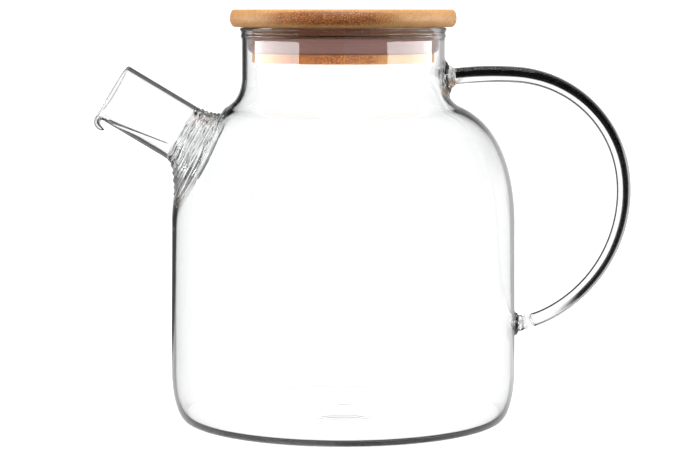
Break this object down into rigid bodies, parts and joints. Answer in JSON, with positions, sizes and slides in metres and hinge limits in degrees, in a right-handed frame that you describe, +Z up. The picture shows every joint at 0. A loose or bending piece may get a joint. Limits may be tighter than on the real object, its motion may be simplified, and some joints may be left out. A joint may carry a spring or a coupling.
{
  "type": "glass teapot",
  "caption": "Round clear glass teapot with a straight neck, slanted spout, looped tube handle and a lift-off bamboo lid sealed by a silicone ring.",
  "frame": {"origin": "on the pot's axis, in the plane that the base rests on", "axes": "+Z up along the pot's axis, +X towards the handle and -X towards the spout, Y across"},
  "size_m": [0.2184, 0.141, 0.1674],
  "materials": {
    "clear_glass": "clear borosilicate glass, fire polished",
    "handle_glass": "clear glass tube that shows a dark band along its outer side",
    "bamboo": "sanded and oiled bamboo, satin",
    "silicone": "translucent matte silicone"
  },
  "bodies": {
    "pot": {"glass_body": "clear_glass", "spout_collar": "clear_glass", "spout_tube": "clear_glass", "handle_tube": "handle_glass", "handle_upper_foot": "clear_glass", "handle_lower_foot": "clear_glass"},
    "ring": {"lid_seal": "silicone"},
    "lid": {"lid_disc": "bamboo", "lid_plug": "bamboo"}
  },
  "joints": [
    {"name": "lid_lift", "type": "slide", "parent": "pot", "child": "ring", "axis": [0, 0, 1], "range_m": [0, 0.05]},
    {"name": "lid_turn", "type": "hinge", "parent": "ring", "child": "lid", "pos_m": [0, 0, 0.16], "axis": [0, 0, 1], "continuous": true}
  ]
}
